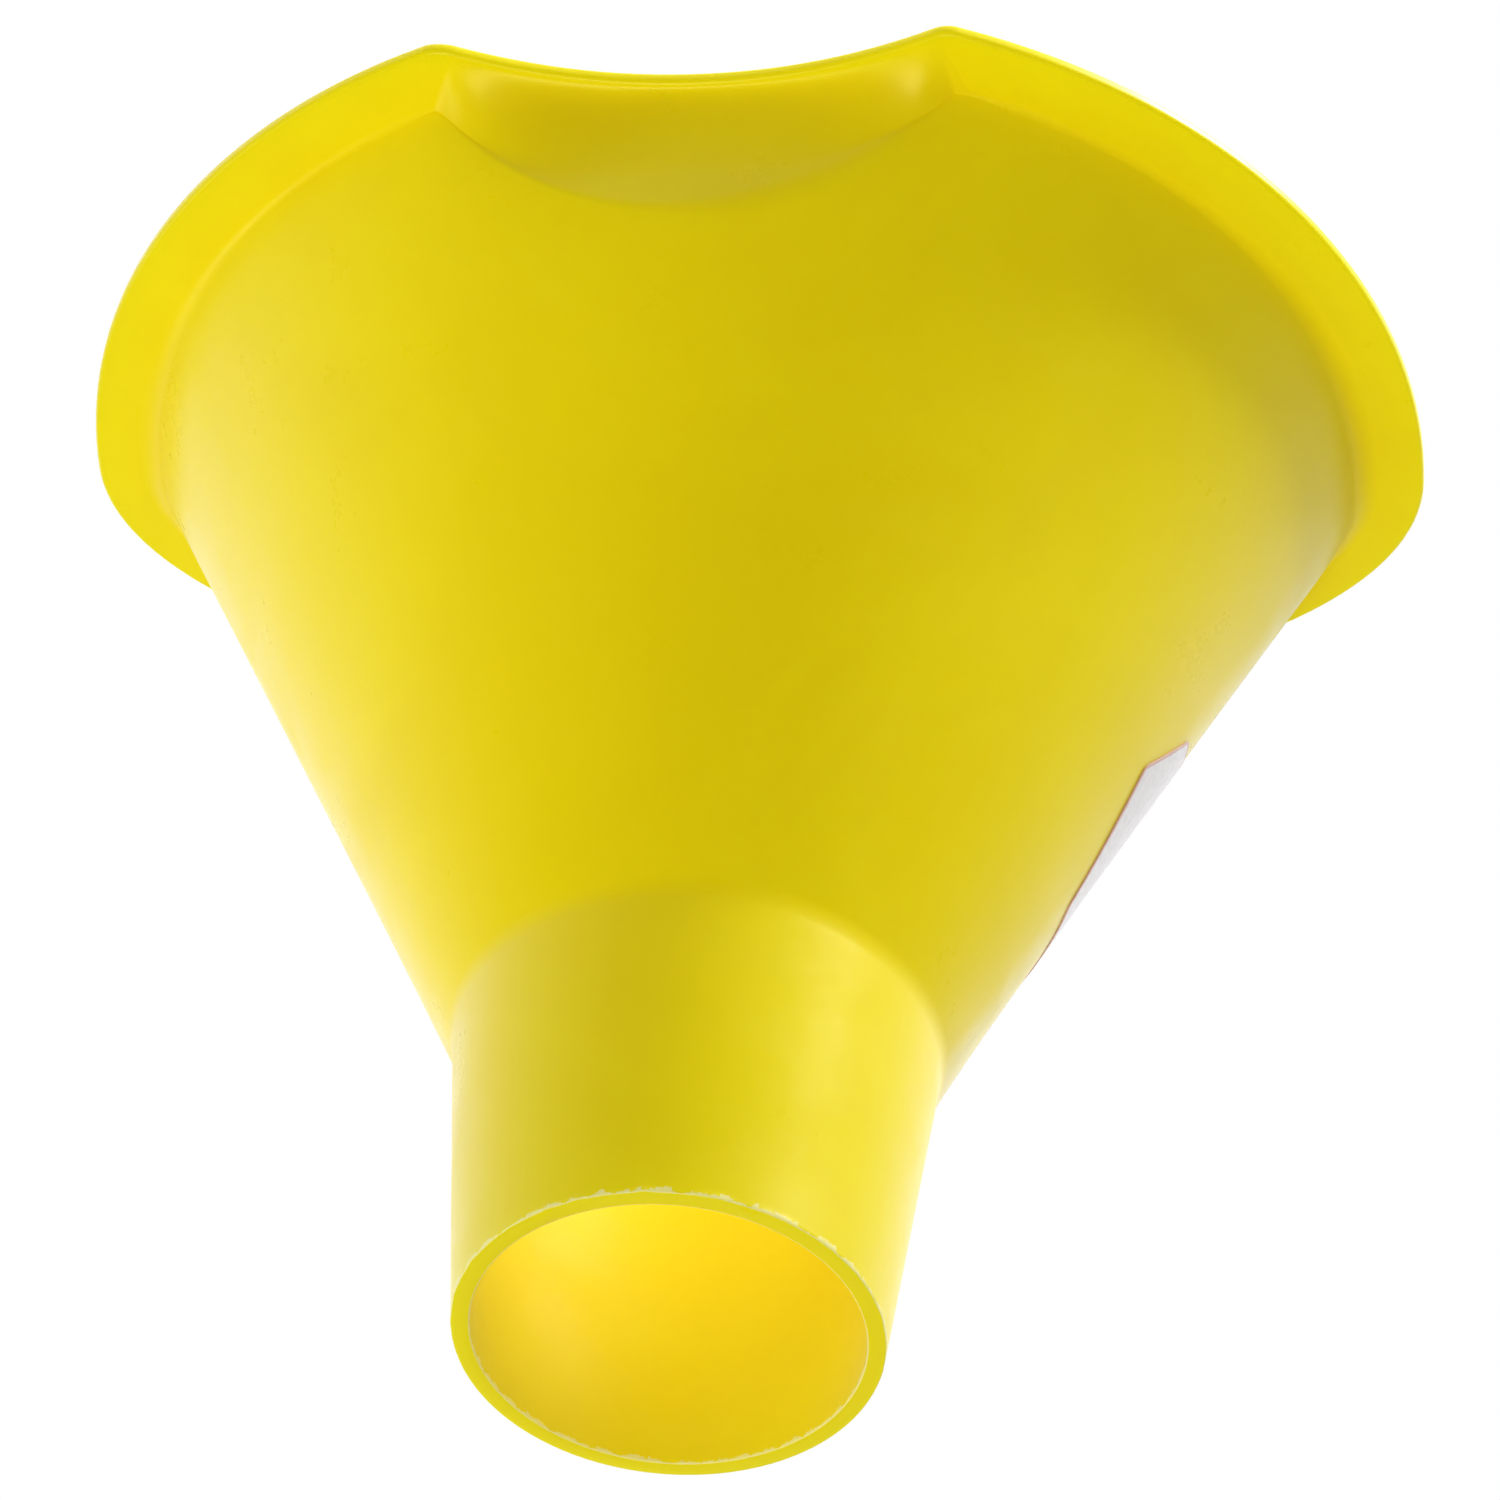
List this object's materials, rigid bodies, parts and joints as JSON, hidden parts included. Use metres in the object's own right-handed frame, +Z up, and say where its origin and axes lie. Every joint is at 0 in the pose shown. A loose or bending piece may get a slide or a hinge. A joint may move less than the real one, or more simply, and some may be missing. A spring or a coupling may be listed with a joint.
{
  "type": "funnel",
  "caption": "Moulded hand funnel with a tapered round spout, an oval mouth with a flat lip, a concave notch in the front rim and an adhesive label on the cone.",
  "frame": {"origin": "centre of the overall box, on the plane of the trimmed spout end that the funnel stands on", "axes": "+Z up along the spout axis toward the mouth, -Y toward the notch in the front rim, X across the mouth"},
  "size_m": [0.1838, 0.1244, 0.1569],
  "materials": {
    "polyethylene": "satin-gloss moulded yellow polyethylene, slightly translucent, faint handling scuffs, trimmed spout edge left slightly ragged",
    "label_film": "pale adhesive film with a thin red border line, no text"
  },
  "bodies": {
    "root": {"funnel_body": "polyethylene", "label": "label_film"}
  },
  "joints": []
}
